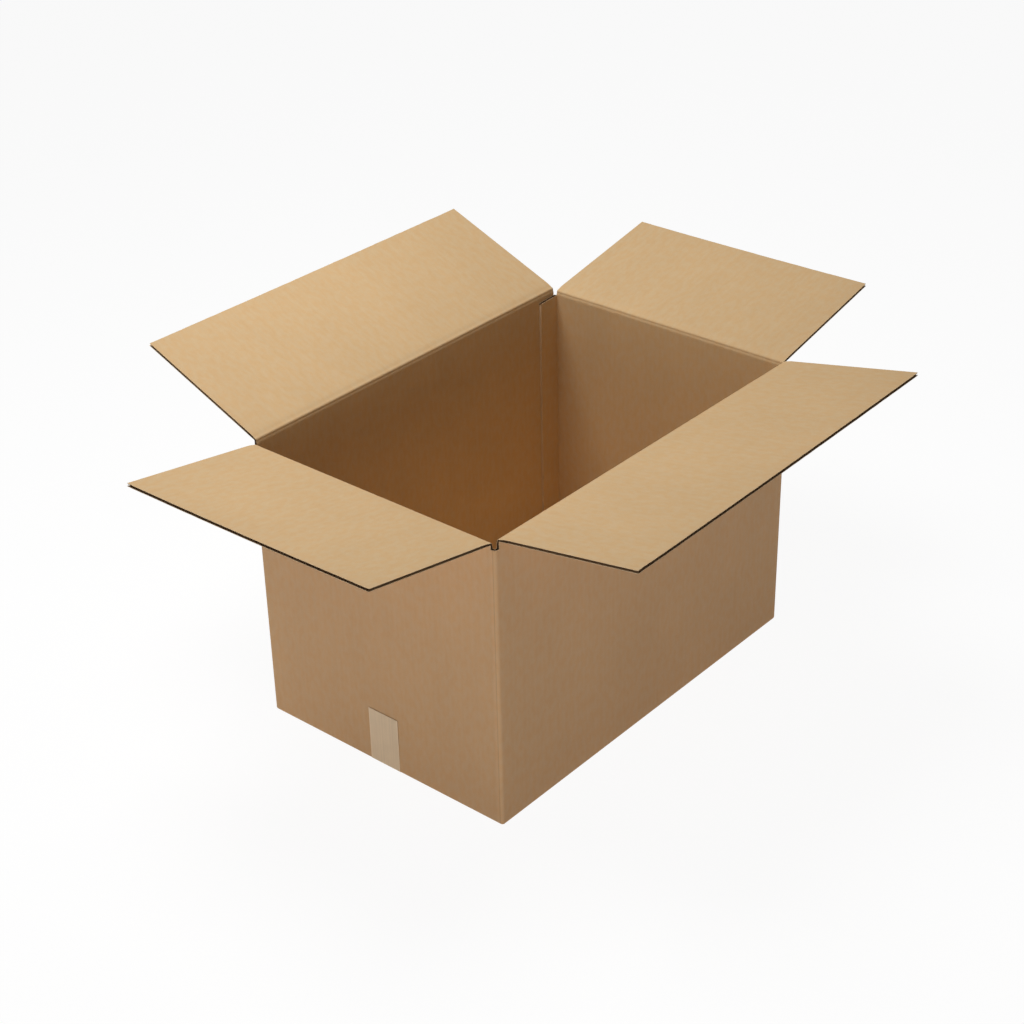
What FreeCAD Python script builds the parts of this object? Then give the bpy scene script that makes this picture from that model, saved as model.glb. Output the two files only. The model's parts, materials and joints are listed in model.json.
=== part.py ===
import FreeCAD, Part
import math
import os
from FreeCAD import Placement, Rotation, Vector

# A regular slotted carton of single-wall corrugated board, open, with its four top flaps laid back.
# All lengths are in millimetres and all angles in degrees. The origin is the centre of the underside,
# +X runs along the length, +Y across the width and +Z up.

# The carton, measured over the outside of its walls
length = 600.0
width = 400.0
end_crease_height = 400.0
bottom_flap_seam = 1.5

# The corrugated board: two flat liners with a fluted paper between them
board = 4.0
liner = 0.4
medium = 0.4
flute_pitch = 8.0
flute_crest = 1.6
crushed_at_crease = 9.0

# Folds, slots and the running gap that lets two thicknesses of board lie on each other
corner_fold_radius = 3.5
corner_inner_radius = 0.6
bottom_fold_radius = 3.0
crease_round = 2.5
slot_half_width = 7.0
slot_below_crease = 5.5
board_gap = 0.3
cut_edge_hollow = 1.2

# The glue tab inside the back corner
tab_width = 40.0
tab_taper = 1.5
tab_clear_of_folds = 1.0

# The top flaps: cut edge above the end crease, and how far each leans up from level as it lies open
top_flap_seam = 1.0
near_end_lean_angle = 10.0
near_side_lean_angle = 10.6
far_side_lean_angle = 22.3
far_end_lean_angle = 11.4

# The strip of tape along the bottom seam and up both ends
tape_width = 50.0
tape_thickness = 0.1
tape_end_height = 81.0
tape_off_centre = -2.8
tape_bend_radius = 2.5

# How far a cut runs past the face that it leaves by
overcut = 1.0

# Worked out from the sizes above
half_length = length / 2
half_width = width / 2
underside = tape_thickness
side_crease_height = end_crease_height + board + board_gap
slot_bottom = end_crease_height - slot_below_crease
tab_top = end_crease_height - board - board_gap
tab_foot = underside + 2 * board + board_gap + tab_clear_of_folds
side_flap_depth = half_width - top_flap_seam / 2
end_flap_depth = side_crease_height + side_flap_depth - end_crease_height
end_flap_width = width - 2 * slot_half_width
side_flap_width = length - 2 * slot_half_width


def outline(corners):
    """Closed wire through (x, y) or (x, y, radius) corners, with a tangent arc where a radius is given."""
    edges = []
    count = len(corners)
    starts, ends = [], []
    for i in range(count):
        here = Vector(corners[i][0], corners[i][1], 0)
        radius = corners[i][2] if len(corners[i]) > 2 else 0.0
        before = Vector(corners[i - 1][0], corners[i - 1][1], 0) - here
        after = Vector(corners[(i + 1) % count][0], corners[(i + 1) % count][1], 0) - here
        before.normalize()
        after.normalize()
        if not radius:
            starts.append(here)
            ends.append(here)
            continue
        half_angle = before.getAngle(after) / 2
        reach = radius / math.tan(half_angle)
        centre_way = before + after
        centre_way.normalize()
        middle = here + centre_way * (radius / math.sin(half_angle) - radius)
        starts.append(here + before * reach)
        ends.append(here + after * reach)
        edges.append(Part.Arc(starts[i], middle, ends[i]).toShape())
    for i in range(count):
        start, end = ends[i], starts[(i + 1) % count]
        if (end - start).Length > 1e-6:
            edges.append(Part.makeLine(start, end))
    return Part.Wire(Part.__sortEdges__(edges))


def prism(corners, bottom, top):
    """Upright solid over an outline in the XY plane."""
    solid = Part.Face(outline(corners)).extrude(Vector(0, 0, top - bottom))
    solid.translate(Vector(0, 0, bottom))
    return solid


def block(low, high):
    """Box between two opposite corners."""
    size = Vector(*high) - Vector(*low)
    return Part.makeBox(size.x, size.y, size.z, Vector(*low))


def ridge(corners, run):
    """Solid whose (across, up) outline lies square to Y, run either side of the XZ plane."""
    solid = Part.Face(outline(corners)).extrude(Vector(0, 0, 2 * run))
    solid.Placement = Placement(Vector(0, run, 0), Rotation(Vector(1, 0, 0), 90))
    return solid


def turned(solid, angle):
    """Copy of a solid turned about the carton's upright centre line."""
    copy = solid.copy()
    copy.rotate(Vector(0, 0, 0), Vector(0, 0, 1), angle)
    return copy


def wall_ring():
    """The four walls and the glue tab as one strip of board, folded at three corners and at the tab."""
    lap = half_length - corner_fold_radius
    tab_end = half_length - tab_width
    low_liner = half_width - board + liner
    tab_liner = half_width - 2 * board + liner
    outer = [
        (lap, half_width),
        (-half_length, half_width, corner_fold_radius),
        (-half_length, -half_width, corner_fold_radius),
        (half_length, -half_width, corner_fold_radius),
        (half_length, half_width - board, corner_fold_radius),
        (lap, half_width - board),
        (lap, low_liner),
        (lap - cut_edge_hollow, low_liner),
        (lap - cut_edge_hollow, half_width - liner),
        (lap, half_width - liner),
    ]
    inner_x, inner_y = half_length - board, half_width - board
    inner = [
        (inner_x, -inner_y, corner_inner_radius),
        (-inner_x, -inner_y, corner_inner_radius),
        (-inner_x, inner_y, corner_inner_radius),
        (tab_end, inner_y),
        (tab_end, inner_y - liner),
        (tab_end + cut_edge_hollow, inner_y - liner),
        (tab_end + cut_edge_hollow, tab_liner),
        (tab_end, tab_liner),
        (tab_end, inner_y - board),
        (inner_x, inner_y - board, corner_inner_radius),
    ]
    ring = prism(outer, underside, side_crease_height)
    return ring.cut(prism(inner, underside, side_crease_height))


def tab_trim(at_wall, at_free_edge, far):
    """What a slanted cut takes off one end of the glue tab, from that cut to the level called far."""
    fold = half_length - board
    free = half_length - tab_width
    past = free - overcut
    corners = [(fold, at_wall), (fold, far), (past, far), (past, at_free_edge), (free, at_free_edge)]
    thickness = board + corner_inner_radius
    trim = ridge(corners, thickness / 2)
    trim.translate(Vector(0, half_width - board - thickness / 2, 0))
    return trim


def crease_cut(wall_face, crease, run):
    """Wedge above a wall's top: the crease folds at the outer liner and opens towards the inside."""
    inside = wall_face - board
    edge = crease - board_gap
    corners = [
        (wall_face + board, edge + board),
        (inside, edge - board, crease_round),
        (inside, edge - 2 * board),
        (inside - board, edge - 2 * board),
        (inside - board, edge + 2 * board),
        (wall_face + board, edge + 2 * board),
    ]
    return ridge(corners, run)


def bottom_fold(wall_face, run):
    """What rounds the outside of a bottom fold."""
    radius = bottom_fold_radius
    corners = [
        (wall_face + overcut, underside + radius),
        (wall_face, underside + radius),
        (wall_face, underside, radius),
        (wall_face - radius, underside),
        (wall_face - radius, underside - overcut),
        (wall_face + overcut, underside - overcut),
    ]
    return ridge(corners, run)


def bottom_flaps():
    """The taped bottom: side flaps outside, meeting at the middle seam, over end flaps inside."""
    side_top = underside + board
    end_bottom = side_top + board_gap
    reach = half_length - slot_half_width
    inner_reach = half_width - board
    flaps = []
    for side in (-1, 1):
        seam = side * bottom_flap_seam / 2
        fold = side * inner_reach
        low, high = sorted((seam, fold))
        flaps.append(block((-reach, low, underside), (reach, high, side_top)))
        wall = side * (half_length - board)
        edge = side * (half_length - end_flap_depth)
        low, high = sorted((edge, wall))
        across = half_width - slot_half_width
        flaps.append(block((low, -across, end_bottom), (high, across, end_bottom + board)))
    return flaps


def carton_body():
    """One sheet of board: four walls, the glue tab and the four folded bottom flaps."""
    body = wall_ring()
    cuts = [
        tab_trim(tab_top, tab_top - tab_taper, side_crease_height + overcut),
        tab_trim(tab_foot, tab_foot + tab_taper, underside - overcut),
    ]
    for x_side in (-1, 1):
        for y_side in (-1, 1):
            x_ends = sorted((x_side * (half_length - slot_half_width), x_side * (half_length + overcut)))
            y_ends = sorted((y_side * (half_width - slot_half_width), y_side * (half_width + overcut)))
            low = (x_ends[0], y_ends[0], slot_bottom)
            high = (x_ends[1], y_ends[1], side_crease_height + overcut)
            cuts.append(block(low, high))
    end_cut = crease_cut(half_length, end_crease_height, half_width)
    side_cut = crease_cut(half_width, side_crease_height, half_length - slot_half_width)
    cuts += [end_cut, turned(end_cut, 180), turned(side_cut, 90), turned(side_cut, -90)]
    end_fold = bottom_fold(half_length, half_width + overcut)
    side_fold = bottom_fold(half_width, half_length + overcut)
    cuts += [end_fold, turned(end_fold, 180), turned(side_fold, 90), turned(side_fold, -90)]
    body = body.cut(cuts)
    body = body.fuse(bottom_flaps()).removeSplitter()
    return body


def flute_section(side):
    """Hollow between the fluted paper and one liner, as (along, through) corners about its middle."""
    crest_height = (board - 2 * liner - medium) / 2
    leg_run = flute_pitch / 2 - flute_crest
    leg = math.hypot(leg_run, 2 * crest_height)
    paper = medium / 2 * leg / (2 * crest_height)
    slope = leg_run / (2 * crest_height)
    narrow = flute_crest / 2 + medium / 2 * slope - paper
    wide = flute_crest / 2 + (2 * crest_height + medium / 2) * slope - paper
    floor = board / 2 - side * (crest_height - medium / 2)
    roof = board / 2 + side * (board / 2 - liner)
    return [(-wide, roof), (-narrow, floor), (narrow, floor), (wide, roof)]


def flutes(flap_width, flap_depth):
    """The hollows inside a flap, open at its cut edge and crushed shut beside its crease."""
    clear = flap_width / 2 - cut_edge_hollow - medium
    widest = flute_section(1)[3][0]
    steps = int((clear - widest) / (flute_pitch / 2))
    hollows = []
    for step in range(-steps, steps + 1):
        section = flute_section(1 if step % 2 else -1)
        middle = step * flute_pitch / 2
        corners = [(middle + along, through) for along, through in section]
        hollows.append(prism(corners, crushed_at_crease, flap_depth + overcut))
    for side in (-1, 1):
        low, high = sorted((side * (flap_width / 2 - cut_edge_hollow), side * (flap_width / 2 + overcut)))
        hollows.append(block((low, liner, crushed_at_crease), (high, board - liner, flap_depth + overcut)))
    return hollows


def top_flap(flap_width, flap_depth):
    """A flap standing upright on its crease line, which is the X axis, with its outer face at Y = 0."""
    corners = [
        (0.0, board_gap),
        (0.0, flap_depth),
        (board, flap_depth),
        (board, board_gap + board, crease_round),
    ]
    sheet = Part.Face(outline(corners)).extrude(Vector(0, 0, flap_width))
    sheet.Placement = Placement(Vector(-flap_width / 2, 0, 0), Rotation(Vector(1, 1, 1), 120))
    return sheet.cut(flutes(flap_width, flap_depth))


def laid_back(flap, lean, wall_distance, crease, turn):
    """Open an upright flap about its crease, and set it on the wall that faces -Y turned by an angle."""
    flap.rotate(Vector(0, 0, 0), Vector(1, 0, 0), 90 - lean)
    flap.translate(Vector(0, -wall_distance, crease))
    return turned(flap, turn)


def bottom_tape():
    """One strip stuck along the bottom seam, round both bottom folds and up the end walls."""
    outer = tape_bend_radius + tape_thickness
    x_out = half_length + tape_thickness
    corners = [
        (-x_out, tape_end_height),
        (-x_out, 0, outer),
        (x_out, 0, outer),
        (x_out, tape_end_height),
        (half_length, tape_end_height),
        (half_length, underside, tape_bend_radius),
        (-half_length, underside, tape_bend_radius),
        (-half_length, tape_end_height),
    ]
    strip = ridge(corners, tape_width / 2)
    strip.translate(Vector(0, tape_off_centre, 0))
    return strip


def side_flap(lean, turn):
    """Top flap of a long wall."""
    flap = top_flap(side_flap_width, side_flap_depth)
    return laid_back(flap, lean, half_width, side_crease_height, turn)


def end_flap(lean, turn):
    """Top flap of a short wall."""
    flap = top_flap(end_flap_width, end_flap_depth)
    return laid_back(flap, lean, half_length, end_crease_height, turn)


nodes = {
    "carton_body": carton_body(),
    "bottom_tape": bottom_tape(),
    "near_side_flap": side_flap(near_side_lean_angle, 0),
    "far_side_flap": side_flap(far_side_lean_angle, 180),
    "near_end_flap": end_flap(near_end_lean_angle, -90),
    "far_end_flap": end_flap(far_end_lean_angle, 90),
}

os.makedirs("parts", exist_ok=True)
for name, shape in nodes.items():
    shape.exportStep(os.path.join("parts", name + ".step"))
    print(name, shape.isValid(), len(shape.Solids), "solid", round(shape.Volume / 1000, 2), "cm3")
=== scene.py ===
import math

import bpy
import numpy as np
from mathutils import Matrix, Vector
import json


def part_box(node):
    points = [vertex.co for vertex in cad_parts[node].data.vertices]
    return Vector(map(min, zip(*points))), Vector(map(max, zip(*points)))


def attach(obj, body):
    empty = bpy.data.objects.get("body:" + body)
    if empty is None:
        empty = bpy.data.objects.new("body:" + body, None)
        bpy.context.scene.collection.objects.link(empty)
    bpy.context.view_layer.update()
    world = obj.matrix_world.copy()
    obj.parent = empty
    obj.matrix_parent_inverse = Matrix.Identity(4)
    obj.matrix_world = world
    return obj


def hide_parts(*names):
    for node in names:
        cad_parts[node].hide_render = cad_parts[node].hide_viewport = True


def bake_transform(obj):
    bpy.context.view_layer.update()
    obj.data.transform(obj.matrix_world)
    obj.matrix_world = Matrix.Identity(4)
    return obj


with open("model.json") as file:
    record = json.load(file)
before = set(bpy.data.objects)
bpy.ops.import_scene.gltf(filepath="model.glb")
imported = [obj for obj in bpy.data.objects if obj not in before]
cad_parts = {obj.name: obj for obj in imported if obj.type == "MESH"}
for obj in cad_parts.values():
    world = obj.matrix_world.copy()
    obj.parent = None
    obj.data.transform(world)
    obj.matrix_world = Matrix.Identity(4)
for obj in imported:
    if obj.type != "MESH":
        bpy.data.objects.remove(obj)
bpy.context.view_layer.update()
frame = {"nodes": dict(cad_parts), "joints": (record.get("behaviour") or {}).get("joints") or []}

# The carton stands in a white studio, under one soft lamp overhead and with a low one beside each wall
# in view. It is seen from above its near corner.
image_side = 1024
focal_pixels = 2028.9
camera_place = (-1.7799, -1.5008, 1.5826)
camera_heading = 40.733
camera_drop = 29.978
camera_roll = -1.317

scene = bpy.context.scene
camera_data = bpy.data.cameras.new("photograph_camera")
camera_data.sensor_width = 36.0
camera_data.lens = camera_data.sensor_width * focal_pixels / image_side
camera = bpy.data.objects.new("photograph_camera", camera_data)
heading = Matrix.Rotation(math.radians(camera_heading - 90), 4, "Z")
drop = Matrix.Rotation(math.radians(90 - camera_drop), 4, "X")
roll = Matrix.Rotation(math.radians(camera_roll), 4, "Z")
camera.matrix_world = Matrix.Translation(camera_place) @ heading @ drop @ roll
scene.collection.objects.link(camera)
scene.camera = camera
scene.view_settings.view_transform = "Standard"


def softbox(name, place, target, side, watts):
    """A square soft lamp that faces a point."""
    data = bpy.data.lights.new(name, "AREA")
    data.shape = "SQUARE"
    data.size = side
    data.energy = watts
    light = bpy.data.objects.new(name, data)
    light.location = place
    light.rotation_euler = (Vector(target) - Vector(place)).to_track_quat("-Z", "Y").to_euler()
    scene.collection.objects.link(light)


softbox("overhead_softbox", (-0.15, 0.40, 1.95), (0, 0, 0.3), 0.9, 25)
softbox("end_side_softbox", (-2.6, -0.5, 0.2), (-0.3, 0, 0.1), 1.2, 15)
softbox("long_side_softbox", (-0.5, -2.6, 0.2), (0, -0.2, 0.1), 1.2, 9)

world = bpy.data.worlds.new("studio")
scene.world = world
world.use_nodes = True
sky_strength = 0.08
sky = world.node_tree.nodes["Background"]
sky.inputs["Color"].default_value = (1, 1, 1, 1)
sky.inputs["Strength"].default_value = sky_strength
white = world.node_tree.nodes.new("ShaderNodeBackground")
white.inputs["Color"].default_value = (1, 1, 1, 1)
seen = world.node_tree.nodes.new("ShaderNodeLightPath")
either = world.node_tree.nodes.new("ShaderNodeMixShader")
world.node_tree.links.new(seen.outputs["Is Camera Ray"], either.inputs[0])
world.node_tree.links.new(sky.outputs[0], either.inputs[1])
world.node_tree.links.new(white.outputs[0], either.inputs[2])
world.node_tree.links.new(either.outputs[0], world.node_tree.nodes["World Output"].inputs["Surface"])


# The sheet is brown kraft board: two flat liners, the outer one a little darker, glued to a fluted paper.
# Its shaders read the flat sheet's own measures, metres along it and up it, as it was before folding, so
# the clouds, fibres and flute lines run on round every fold.
outer_kraft = (0.610, 0.380, 0.200)
inner_kraft = (0.660, 0.450, 0.238)
cut_kraft = (0.700, 0.520, 0.330)
# The fluting's brown is darkened with painted shade of the flute holes. The same finish lines the hollows
# along the walls' top edges and at the crease pieces' ends, where there is only shade.
flute_kraft_and_painted_shade = (0.200, 0.115, 0.055)
flute_pitch = 0.008


class Wire:
    """The output of a shader node. Sums and products of wires and numbers add Math nodes."""

    def __init__(self, tree, socket=None):
        self.tree = tree
        self.socket = socket

    def node(self, kind, settings=None, sockets=None, output=0):
        """Adds a node, sets it up, fills its sockets with values or wires, and gives one of its outputs."""
        node = self.tree.nodes.new(kind)
        for setting, value in (settings or {}).items():
            setattr(node, setting, value)
        for name, value in (sockets or {}).items():
            socket = node.inputs[name]
            if isinstance(value, Wire):
                self.tree.links.new(value.socket, socket)
            elif isinstance(value, tuple) and socket.type == "RGBA":
                socket.default_value = (*value, 1)
            else:
                socket.default_value = value
        return Wire(self.tree, node.outputs[output])

    def maths(self, operation, *values):
        return self.node("ShaderNodeMath", {"operation": operation}, dict(enumerate(values)))

    def __add__(self, other):
        return self.maths("ADD", self, other)

    def __radd__(self, other):
        return self.maths("ADD", other, self)

    def __sub__(self, other):
        return self.maths("SUBTRACT", self, other)

    def __rsub__(self, other):
        return self.maths("SUBTRACT", other, self)

    def __mul__(self, other):
        return self.maths("MULTIPLY", self, other)

    def __rmul__(self, other):
        return self.maths("MULTIPLY", other, self)

    def __abs__(self):
        return self.maths("ABSOLUTE", self)

    def sine(self):
        return self.maths("SINE", self)

    def between(self, low, high):
        """0 at low, 1 at high and smooth from one to the other, whichever is the greater."""
        settings = {"interpolation_type": "SMOOTHSTEP"}
        return self.node("ShaderNodeMapRange", settings, {"Value": self, "From Min": low, "From Max": high})

    def noise(self, along, up, detail=2.0, roughness=0.5):
        """Noise over the flat sheet, with this many grains to the metre along it and up it."""
        stretched = self.node("ShaderNodeMapping", None, {"Vector": self, "Scale": (along, up, 1.0)})
        sockets = {"Vector": stretched, "Scale": 1.0, "Detail": detail, "Roughness": roughness}
        return self.node("ShaderNodeTexNoise", {"noise_dimensions": "2D"}, sockets)

    def mix(self, share, low, high, how="MIX"):
        """Two colours mixed, or multiplied together, by a share."""
        settings = {"data_type": "RGBA", "blend_type": how}
        return self.node("ShaderNodeMix", settings, {0: share, 6: low, 7: high}, 2)

    def shade(self, colour, tone):
        """A colour made lighter or darker all over its channels by a wire."""
        grey = self.node("ShaderNodeCombineColor", None, {0: tone, 1: tone, 2: tone})
        return self.mix(1.0, colour, grey, "MULTIPLY")

    def into(self, shader, socket):
        self.tree.links.new(self.socket, shader.inputs[socket])


def material(name, roughness, specular):
    """A new material and its shader node."""
    made = bpy.data.materials.new(name)
    made.use_nodes = True
    shader = made.node_tree.nodes["Principled BSDF"]
    shader.inputs["Roughness"].default_value = roughness
    shader.inputs["Specular IOR Level"].default_value = specular
    return made, shader


def flat_sheet(made):
    """The flat sheet's measures, which every piece of board has as its UV layer."""
    return Wire(made.node_tree).node("ShaderNodeUVMap", {"uv_map": "sheet"})


def scaled(colour, *shares):
    return tuple(channel * share for channel, share in zip(colour, shares))


def kraft_liner(name, colour, washboard, folds=()):
    """Liner paper: cloudy brown, flecked with fibres, with faint flute lines that show through it. folds
    are the places along the sheet where the outer liner is scored; each gets a thin dark line of painted
    shade, with a paler band of painted highlight for 6 mm either side."""
    made, shader = material(name, 0.80, 0.25)
    sheet = flat_sheet(made)
    along = sheet.node("ShaderNodeSeparateXYZ", None, {0: sheet})
    clouds = sheet.noise(9, 6, 3.0, 0.55)
    blotches = sheet.noise(120, 70, 4.0, 0.62)
    streaks = sheet.noise(160, 3, 2.0, 0.5)
    fibres = sheet.noise(1500, 2600, 3.0, 0.7)
    specks = sheet.noise(1300, 1700, 1.0, 0.4).between(0.70, 0.82)
    flute_lines = (along * (2 * math.pi / flute_pitch)).sine()
    tone = 0.80 + clouds * 0.09 + blotches * 0.14 + streaks * 0.03 + fibres * 0.14 + flute_lines * washboard
    for fold in folds:
        # Painted shade: a thin dark line on each score. Painted highlight: a paler band within 6 mm of it.
        beside = abs(along - fold)
        tone = tone * (1 - beside.between(0.0009, 0.0003) * 0.16)
        tone = tone * (1 + beside.between(0.0060, 0.0015) * 0.05)
    redder = scaled(colour, 1.02, 0.99, 0.95)
    greyer = scaled(colour, 0.98, 1.01, 1.05)
    warmth = sheet.mix(blotches.between(0.35, 0.65), redder, greyer)
    dark_fleck = scaled(colour, 0.5, 0.45, 0.4)
    flecked = sheet.mix(specks * 0.30, sheet.shade(warmth, tone), dark_fleck)
    flecked.into(shader, "Base Color")
    height = fibres * 0.4 + blotches * 0.5 + flute_lines * (10 * washboard)
    bump = sheet.node("ShaderNodeBump", None, {"Height": height, "Distance": 0.00012, "Strength": 0.8})
    bump.into(shader, "Normal")
    return made


def bare_paper(name, colour, spread):
    """Bare paper fibre, as a blade leaves it along a cut edge, and the fluted paper inside in a brown
    darkened with painted shade.
    """
    made, shader = material(name, 0.95, 0.15)
    sheet = flat_sheet(made)
    grain = sheet.noise(900, 900, 3.0, 0.7)
    sheet.shade(colour, 1 - spread / 2 + grain * spread).into(shader, "Base Color")
    bump = sheet.node("ShaderNodeBump", None, {"Height": grain, "Distance": 0.0002, "Strength": 0.7})
    bump.into(shader, "Normal")
    return made


# The walls are one strip of board, folded at three corners and at the glue tab, whose lap is at the back
# corner. The corners are scored outside and softly rounded, and each has a thin line of painted shade in its
# score, with a paler band of painted highlight beside it. Above the slots' ends the four top creases carry
# on as pieces of their own.
board = 0.004
liner = 0.0004
corner_radius = 0.0042
inner_radius = 0.0006
bottom_radius = 0.003
tab_width = 0.040
tab_taper = 0.0015
tab_clearance = 0.001
layer_gap = 0.0003
wall_bow = 0.0012
edge_hollow = 0.0022
tab_lift = 0.0001
slot_below_crease = 0.0055
tab_steps = 8
round_steps = 6
wall_steps = 24

body_low, body_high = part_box("carton_body")
half_length = body_high.x
half_width = body_high.y
underside = body_low.z
hinges = {joint["child"]: joint for joint in frame["joints"]}
end_crease = hinges["near_end_flap"]["pos_m"][2]
side_crease = hinges["near_side_flap"]["pos_m"][2]
side_half_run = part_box("near_side_flap")[1].x
end_half_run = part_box("near_end_flap")[1].y
slot_bottom = end_crease - slot_below_crease

plan_corner = math.pi / 2 * corner_radius
side_run = 2 * (half_length - corner_radius) + plan_corner
end_run = 2 * (half_width - corner_radius) + plan_corner
first_fold = 2 * (half_length - corner_radius)
corner_folds = [first_fold, first_fold + end_run, first_fold + end_run + side_run]

outside = kraft_liner("outer_liner", outer_kraft, 0.006, corner_folds)
inside = kraft_liner("inner_liner", inner_kraft, 0.005)
cut = bare_paper("cut_liner", cut_kraft, 0.25)
fluting_and_shade = bare_paper("fluting_paper", flute_kraft_and_painted_shade, 0.3)
finishes = [outside, inside, cut, fluting_and_shade]
OUTSIDE, INSIDE, CUT, FLUTING_AND_SHADE = range(4)


def sheet_mesh(name, places, measures, sides, caps, sharp=35.0):
    """Closed solid swept through rings of points. places is stations x ring x 3, and measures is the same
    points on the flat sheet, stations x ring x 2. sides has a finish for each side of the ring."""
    stations, ring = places.shape[:2]
    faces, finish = [], []
    for i in range(stations - 1):
        for j in range(ring):
            k = (j + 1) % ring
            faces.append((i * ring + j, i * ring + k, (i + 1) * ring + k, (i + 1) * ring + j))
            finish.append(sides[i][j] if isinstance(sides[0], list) else sides[j])
    last = (stations - 1) * ring
    faces.append(tuple(range(ring))[::-1])
    faces.append(tuple(last + j for j in range(ring)))
    finish += [caps, caps]
    mesh = bpy.data.meshes.new(name)
    mesh.from_pydata(places.reshape(-1, 3).tolist(), [], faces)
    corners = np.zeros(len(mesh.loops), np.int32)
    mesh.loops.foreach_get("vertex_index", corners)
    layer = mesh.uv_layers.new(name="sheet")
    layer.uv.foreach_set("vector", measures.reshape(-1, 2)[corners].astype(np.float32).ravel())
    mesh.polygons.foreach_set("material_index", finish)
    mesh.polygons.foreach_set("use_smooth", [True] * len(faces))
    for each in finishes:
        mesh.materials.append(each)
    mesh.set_sharp_from_angle(angle=math.radians(sharp))
    piece = bpy.data.objects.new(name, mesh)
    scene.collection.objects.link(piece)
    return piece


def together(name, parts):
    """Joins the meshes of one piece."""
    with bpy.context.temp_override(active_object=parts[0], selected_editable_objects=parts):
        bpy.ops.object.join()
    parts[0].name = name
    parts[0].data.name = name
    return parts[0]


def wall_plan():
    """Outer and inner points of the strip seen from above, and how far each stretch bows."""
    outer, inner, bows = [], [], []
    r = corner_radius
    straights = [
        ((half_length - r, half_width), (-half_length + r, half_width), (0, -1), 50),
        ((-half_length, half_width - r), (-half_length, -half_width + r), (1, 0), 40),
        ((-half_length + r, -half_width), (half_length - r, -half_width), (0, 1), 50),
        ((half_length, -half_width + r), (half_length, half_width - board - r), (-1, 0), 40),
    ]
    folds = [
        ((-half_length + r, half_width - r), (-half_length + board, half_width - board), 90),
        ((-half_length + r, -half_width + r), (-half_length + board, -half_width + board), 180),
        ((half_length - r, -half_width + r), (half_length - board, -half_width + board), 270),
        ((half_length - r, half_width - board - r), (half_length - board, half_width - 2 * board), 0),
    ]
    for (start, end, inward, steps), (centre, inner_corner, angle) in zip(straights, folds):
        shares = 0.5 - 0.5 * np.cos(math.pi * np.linspace(0, 1, steps))[:, None]
        line = np.array(start) + shares * (np.array(end) - np.array(start))
        outer.append(line)
        inner.append(line + np.array(inward) * board)
        bows.append(wall_bow * np.sin(math.pi * shares) * np.array(inward))
        turned = np.radians(np.linspace(angle, angle + 90, 9))[1:-1]
        way = np.stack([np.cos(turned), np.sin(turned)], 1)
        inner_corner = np.array(inner_corner)
        outer.append(np.array(centre) + way * r)
        inner.append(inner_corner - np.sign(inner_corner) * inner_radius + way * inner_radius)
        bows.append(np.zeros((len(way), 2)))
    along_tab = np.linspace(half_length - r, half_length - tab_width, tab_steps)[:, None]
    face = half_width - board
    outer.append(np.column_stack([along_tab, np.full(tab_steps, face - tab_lift)]))
    inner.append(np.column_stack([along_tab, np.full(tab_steps, face - board)]))
    bows.append(np.zeros((tab_steps, 2)))
    return np.concatenate(outer), np.concatenate(inner), np.concatenate(bows)


outer, inner, bow = wall_plan()
steps = np.linalg.norm(np.diff(outer, axis=0), axis=1)
along = np.concatenate([[0], np.cumsum(steps)])
tab_points = np.arange(len(outer)) >= len(outer) - tab_steps
reach = np.clip((half_length - board - inner[:, 0]) / (tab_width - board), 0, 1)
tab_top = end_crease - board - layer_gap - tab_taper * reach
tab_foot = underside + 2 * board + layer_gap + tab_clearance + tab_taper * reach
top = np.where(tab_points, tab_top, slot_bottom)
foot = np.where(tab_points, tab_foot, underside)
rounding = np.where(tab_points, 0.0, bottom_radius)
inward = (inner - outer) / np.linalg.norm(inner - outer, axis=1)[:, None]


def wall_level(across, rise):
    """Points of the strip at one level, with its walls bowed between their folds."""
    height_share = np.clip((rise - underside) / (slot_bottom - underside), 0, 1)
    return np.column_stack([across + bow * np.sin(math.pi * height_share)[:, None], rise])


rows, sheet_rows = [], []
for turn in np.radians(np.linspace(0, 90, round_steps)):
    rise = foot + rounding * (1 - math.cos(turn))
    rows.append(wall_level(outer + inward * (rounding * (1 - math.sin(turn)))[:, None], rise))
    sheet_rows.append(np.column_stack([along, rise]))
for share in np.linspace(0, 1, wall_steps)[1:]:
    rise = foot + rounding + (top - foot - rounding) * share
    rows.append(wall_level(outer, rise))
    sheet_rows.append(np.column_stack([along, rise]))
# The hollow along the walls' top edge is lined with the dark fluting finish, painted shade.
rim = [(liner, 0.0), (liner, -edge_hollow), (board - liner, -edge_hollow), (board - liner, 0.0)]
for depth, fall in rim:
    rows.append(np.column_stack([outer + inward * depth, top + fall]))
    sheet_rows.append(np.column_stack([along, top + fall]))
for share in np.linspace(1, 0, wall_steps):
    rise = foot + (top - foot) * share
    rows.append(wall_level(inner, rise))
    sheet_rows.append(np.column_stack([along, rise]))
sides = [OUTSIDE] * (round_steps + wall_steps - 2) + [CUT, FLUTING_AND_SHADE, FLUTING_AND_SHADE, FLUTING_AND_SHADE, CUT]
sides += [INSIDE] * (wall_steps - 1) + [CUT]
walls = sheet_mesh("carton_walls", np.stack(rows, 1), np.stack(sheet_rows, 1), sides, CUT)
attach(walls, "carton")
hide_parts("carton_body")


# The bottom is shut by four flaps: those of the side walls lie outside and meet at a seam along the
# middle, and those of the end walls lie inside on top of them. Each is liner, fluting and liner, and its
# cut edges show all three.
bottom_seam = 0.0015
top_seam = 0.001
flute_paper = 0.0003
ragged_cut = 0.00012
fluting_inset = 0.0003
wall_lap = 0.0002
crest_flatness = 1.12
run_rows = 9
flute_rows = 5
steps_to_a_flute = 12


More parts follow.
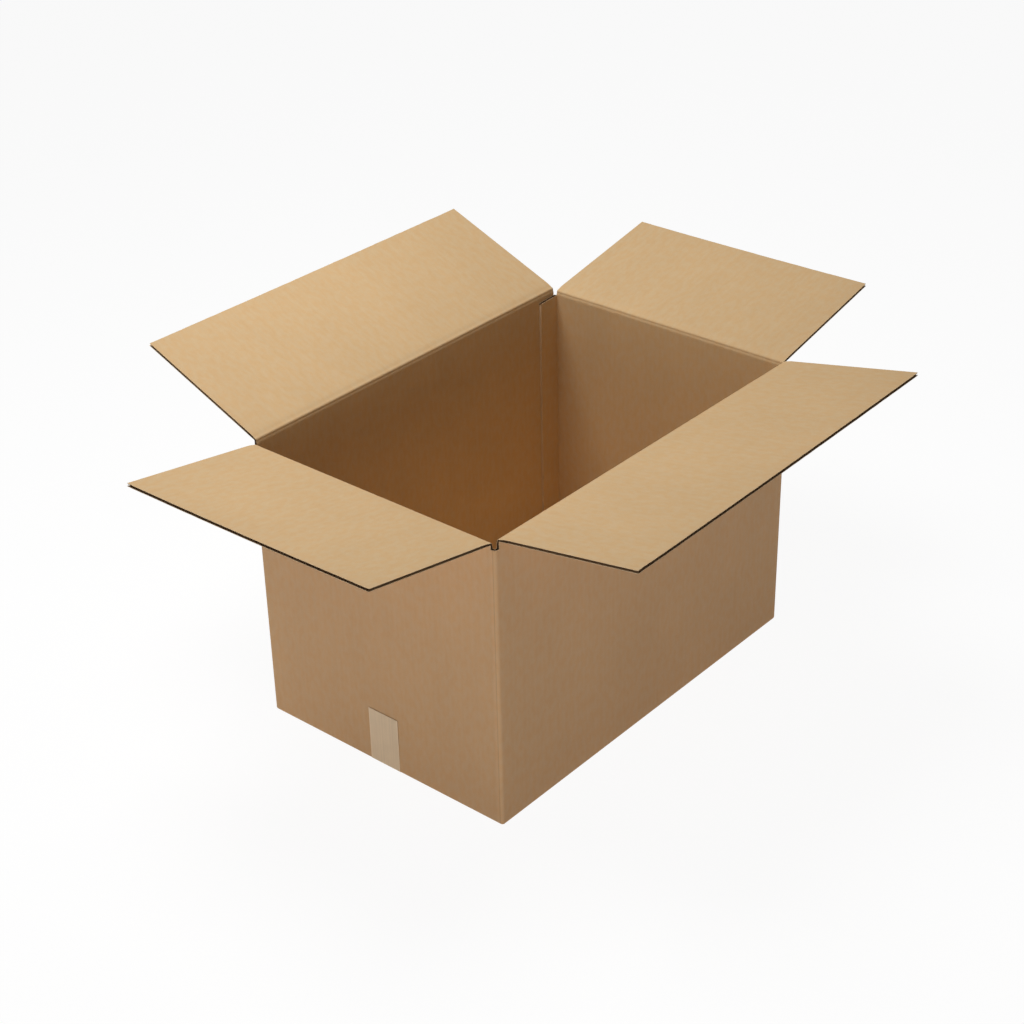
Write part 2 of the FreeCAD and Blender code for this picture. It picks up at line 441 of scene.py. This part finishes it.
class Panel:
    """One wall's face: which way it runs, where its crease is, and where its middle is on the flat sheet."""

    def __init__(self, turn, distance, crease, half_run, flap_depth, sheet_middle):
        angle = math.radians(turn)
        self.across = np.array((math.cos(angle), math.sin(angle), 0))
        self.inward = np.array((-math.sin(angle), math.cos(angle), 0))
        self.foot = -self.inward * distance
        self.crease = crease
        self.half_run = half_run
        self.flap_depth = flap_depth
        self.sheet_middle = sheet_middle

    def place(self, u, inward, up):
        """Points u along the wall, inward from its outer face, and up from the floor."""
        u, inward, up = np.broadcast_arrays(u, inward, up)
        along_wall = u[..., None] * self.across + inward[..., None] * self.inward
        return self.foot + along_wall + up[..., None] * (0, 0, 1)


side_flap_depth = half_width - top_seam / 2
end_flap_depth = side_crease + side_flap_depth - end_crease
first_middle = first_fold / 2
panels = {
    "far_side": Panel(180, half_width, side_crease, side_half_run, side_flap_depth, first_middle),
    "near_end": Panel(270, half_length, end_crease, end_half_run, end_flap_depth,
                      first_middle + (side_run + end_run) / 2),
    "near_side": Panel(0, half_width, side_crease, side_half_run, side_flap_depth,
                       first_middle + side_run + end_run),
    "far_end": Panel(90, half_length, end_crease, end_half_run, end_flap_depth,
                     first_middle + 1.5 * (side_run + end_run)),
}


def board_run(name, panel, start, end, fold, sheet_base, seed):
    """Liners and fluting of a flat run of board, from start to end beyond its fold. fold turns measures
    along the crease, through the board and away from the crease into places."""
    chance = np.random.default_rng(seed)
    stations = int(panel.half_run * 2 / 0.012)
    u = np.linspace(-panel.half_run, panel.half_run, stations)[:, None]
    ragged = chance.normal(0, ragged_cut, (stations, 1))
    rows = np.linspace(start, end, run_rows)
    parts = []
    for low, high, under, over in ((0.0, liner, OUTSIDE, CUT), (board - liner, board, CUT, INSIDE)):
        through = np.repeat((low, high), run_rows)[None]
        away = np.concatenate([rows, rows[::-1]])[None]
        away = away + np.where(away == end, 1.0, 0.0) * ragged
        sheet = np.stack([np.broadcast_to(panel.sheet_middle + u, away.shape), sheet_base + away], 2)
        sides = [under] * (run_rows - 1) + [CUT] + [over] * (run_rows - 1) + [CUT]
        parts.append(sheet_mesh(name, fold(u, through, away), sheet, sides, CUT))
    waves = int(panel.half_run * 2 / flute_pitch)
    u = np.linspace(-waves / 2, waves / 2, waves * steps_to_a_flute + 1) * flute_pitch
    phase = 2 * math.pi * u / flute_pitch
    swing = (board - 2 * liner - flute_paper) / 2
    height = swing * np.clip(crest_flatness * np.sin(phase), -1, 1)
    slope = np.gradient(height, u)
    square = np.sqrt(1 + slope ** 2)
    half = np.repeat((-0.5, 0.5), flute_rows)[None] * flute_paper
    rows = np.linspace(start, end - fluting_inset, flute_rows)
    away = np.broadcast_to(np.concatenate([rows, rows[::-1]])[None], (len(u), 2 * flute_rows))
    through = board / 2 + height[:, None] + half / square[:, None]
    u = u[:, None] - half * (slope / square)[:, None]
    sheet = np.stack([panel.sheet_middle + u, sheet_base + away], 2)
    parts.append(sheet_mesh(name, fold(u, through, away), sheet, [FLUTING_AND_SHADE] * 2 * flute_rows, FLUTING_AND_SHADE, 60.0))
    return together(name, parts)


def folded_in(panel, level):
    """Lays a run of board flat on the bottom, from its wall's face inward."""
    def fold(u, through, away):
        return panel.place(u, away, level + through)
    return fold


for number, (name, panel) in enumerate(panels.items()):
    is_end = name.endswith("end")
    level = underside + (board + layer_gap if is_end else 0)
    depth = end_flap_depth if is_end else half_width - bottom_seam / 2
    fold = folded_in(panel, level)
    start = board - wall_lap
    piece = board_run("bottom_" + name + "_flap", panel, start, depth, fold, underside, 40 + number)
    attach(piece, "carton")
    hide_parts("carton_body")


# Each top flap lies back from its crease, its inner liner up. Its free edge is cut square, so the flutes
# show there as a row of holes. The sheet isn't quite flat: a flap twists and sags a little, and one
# corner of the near end flap stands out.
crease_zone = 0.012
flap_sag = 0.0012
top_flaps = {
    "near_end": {"twist": 0.74, "flare": 0.003, "seed": 11},
    "far_end": {"twist": -0.37, "flare": 0.0, "seed": 12},
    "near_side": {"twist": 1.24, "flare": 0.0, "seed": 13},
    "far_side": {"twist": 0.24, "flare": 0.0, "seed": 14},
}


def lean_of(name):
    """How far a flap leans up from level as it rests. Its hinge can turn it from there to shut."""
    return 180 - hinges[name + "_flap"]["range_deg"][1]


def laid_back(panel, lean, twist, flare):
    """Turns upright board outward about the crease to its resting lean."""
    turn = math.radians(90 - lean)

    def fold(u, through, away):
        u, through, away = np.broadcast_arrays(u, through, away)
        share = (away - crease_zone) / (panel.flap_depth - crease_zone)
        side = u / panel.half_run
        lift = np.radians(twist) * side * share * panel.flap_depth - flap_sag * share * (1 - side ** 2)
        through = through + lift
        inward = -away * math.sin(turn) + through * math.cos(turn)
        up = away * math.cos(turn) + through * math.sin(turn)
        return panel.place(u + flare * share * (0.5 + 0.5 * side), inward, panel.crease + up)
    return fold


for name, shape in top_flaps.items():
    panel = panels[name]
    fold = laid_back(panel, lean_of(name), shape["twist"], shape["flare"])
    depth = panel.flap_depth
    piece = board_run(name + "_top_flap", panel, crease_zone, depth, fold, panel.crease, shape["seed"])
    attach(piece, name + "_flap")
    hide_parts(name + "_flap")


# At a crease the board is crushed along a line and bends there. The outer liner folds tight on the line,
# and the inner liner goes round it in a soft bend from the wall's inside to the flap's top.
crushed_board = 0.0030
crush_on_wall = 0.0026
crush_on_flap = 0.0048
outer_tuck = 0.0010
bend_steps = 12
crease_steps = 59
bend_start = 0.0028


def crease_section(lean, below):
    """Pairs of outer and inner points across a crease as (inward, up), with the height on the flat sheet."""
    turn = math.radians(90 - lean)
    flap_way = np.array((-math.sin(turn), math.cos(turn)))
    flap_face = np.array((math.cos(turn), math.sin(turn)))
    outer, inner, height = [], [], []
    for up in np.linspace(-below, -outer_tuck, 9)[:-1]:
        thick = board - (board - crushed_board) * math.exp(-(up / crush_on_wall) ** 2)
        outer.append((0.0, up))
        inner.append((thick, up))
        height.append(up)
    arc = crushed_board * turn
    whole = 2 * outer_tuck + arc
    for step in range(bend_steps + 1):
        share = step / bend_steps
        start = np.array((0.0, -outer_tuck)) * (1 - share) ** 2
        outer.append(start + flap_way * outer_tuck * share ** 2)
        gone = share * whole
        if gone < outer_tuck:
            inner.append((crushed_board, gone - outer_tuck))
        elif gone < outer_tuck + arc:
            angle = (gone - outer_tuck) / crushed_board
            inner.append((crushed_board * math.cos(angle), crushed_board * math.sin(angle)))
        else:
            inner.append(flap_face * crushed_board + flap_way * (gone - outer_tuck - arc))
        height.append(outer_tuck * (2 * share - 1))
    for up in np.linspace(outer_tuck, crease_zone, 11)[1:]:
        thick = board - (board - crushed_board) * math.exp(-((up - outer_tuck) / crush_on_flap) ** 2)
        outer.append(flap_way * up)
        inner.append(flap_way * up + flap_face * thick)
        height.append(up)
    return np.array(outer), np.array(inner), np.array(height)


for name in top_flaps:
    panel = panels[name]
    lean = lean_of(name)
    outer_line, inner_line, height = crease_section(lean, panel.crease - slot_bottom)
    count = len(height)
    share = liner / np.linalg.norm(inner_line - outer_line, axis=1)[:, None]
    full = np.concatenate([outer_line, inner_line[::-1]])
    core_outer = outer_line + (inner_line - outer_line) * share
    core_inner = inner_line + (outer_line - inner_line) * share
    core = np.concatenate([core_outer, core_inner[::-1]])
    stations = [(core, -panel.half_run + edge_hollow), (core, -panel.half_run)]
    stations += [(full, u) for u in np.linspace(-panel.half_run, panel.half_run, crease_steps + 1)]
    stations += [(core, panel.half_run), (core, panel.half_run - edge_hollow)]
    up = panel.crease + np.concatenate([height, height[::-1]])
    points, sheet = [], []
    for ring, u in stations:
        points.append(panel.place(np.array(u), ring[:, 0], panel.crease + ring[:, 1]))
        sheet.append(np.column_stack([np.full(2 * count, panel.sheet_middle + u), up]))
    skin = [OUTSIDE] * (count - 1) + [CUT] + [INSIDE] * (count - 1) + [CUT]
    # The hollows at the piece's ends are lined with the dark fluting finish, painted shade.
    hollow = [FLUTING_AND_SHADE] * 2 * count
    rim = [CUT] * 2 * count
    sides = [hollow, rim] + [skin] * crease_steps + [rim, hollow]
    piece = sheet_mesh(name + "_crease_fold", np.stack(points), np.stack(sheet), sides, FLUTING_AND_SHADE, 50.0)
    turn = math.radians(135 - lean)
    start = panel.place(0.0, bend_start, panel.crease - bend_start)
    end = panel.place(0.0, board * math.cos(turn), panel.crease + board * math.sin(turn))
    name + "_flap"
    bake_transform(piece)


# One strip of pale matt packing tape closes the bottom seam and turns up both end walls. Its film is a
# little hazy, with fine streaks along it and paler edges. The strip is the CAD one, with this finish.
tape_colour = (0.780, 0.600, 0.400)
made, shader = material("packing_tape", 0.42, 0.4)
tape_low, tape_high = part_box("bottom_tape")
tape_width = tape_high.y - tape_low.y
point = Wire(made.node_tree).node("ShaderNodeTexCoord", output="Object")
x, y, z = [point.node("ShaderNodeSeparateXYZ", None, {0: point}, axis) for axis in "XYZ"]
across = y - tape_low.y
strip = point.node("ShaderNodeCombineXYZ", None, {0: across, 1: z + half_length - abs(x)})
long_streaks = strip.noise(420, 7, 2.0, 0.5)
haze = strip.noise(60, 40, 3.0, 0.55)
from_middle = abs(across - tape_width / 2)
pale_edge = from_middle.between(tape_width / 2 - 0.0035, tape_width / 2 - 0.0005)
tone = 0.86 + long_streaks * 0.16 + haze * 0.10 + pale_edge * 0.10
strip.shade(tape_colour, tone).into(shader, "Base Color")
bump = strip.node("ShaderNodeBump", None, {"Height": long_streaks, "Distance": 0.0001, "Strength": 0.5})
bump.into(shader, "Normal")
for slot in frame["nodes"]["bottom_tape"].material_slots:
    slot.material = made


# The floor is a white lit table. It throws light up at the walls and under the flaps, the camera sees it
# near to white, and it keeps the carton's soft shadow.
white_floor_share = 0.90
table_glow = 0.34
half_floor = 6
floor_mesh = bpy.data.meshes.new("floor")
signs = [(-1, -1), (1, -1), (1, 1), (-1, 1)]
floor_mesh.from_pydata([(x * half_floor, y * half_floor, 0) for x, y in signs], [], [(0, 1, 2, 3)])
floor = bpy.data.objects.new("floor", floor_mesh)
scene.collection.objects.link(floor)
paint = bpy.data.materials.new("white_floor")
paint.use_nodes = True
shader = paint.node_tree.nodes["Principled BSDF"]
shader.inputs["Base Color"].default_value = (0.88, 0.88, 0.88, 1)
shader.inputs["Roughness"].default_value = 0.9
shader.inputs["Emission Color"].default_value = (1, 1, 1, 1)
shader.inputs["Emission Strength"].default_value = table_glow
lit = Wire(paint.node_tree, shader.outputs[0])
camera_ray = lit.node("ShaderNodeLightPath")
glow = lit.node("ShaderNodeEmission", None, {"Color": (1.0, 1.0, 1.0), "Strength": 1.0})
mixed = lit.node("ShaderNodeMixShader", None, {0: camera_ray * white_floor_share, 1: lit, 2: glow})
mixed.into(paint.node_tree.nodes["Material Output"], "Surface")
floor_mesh.materials.append(paint)
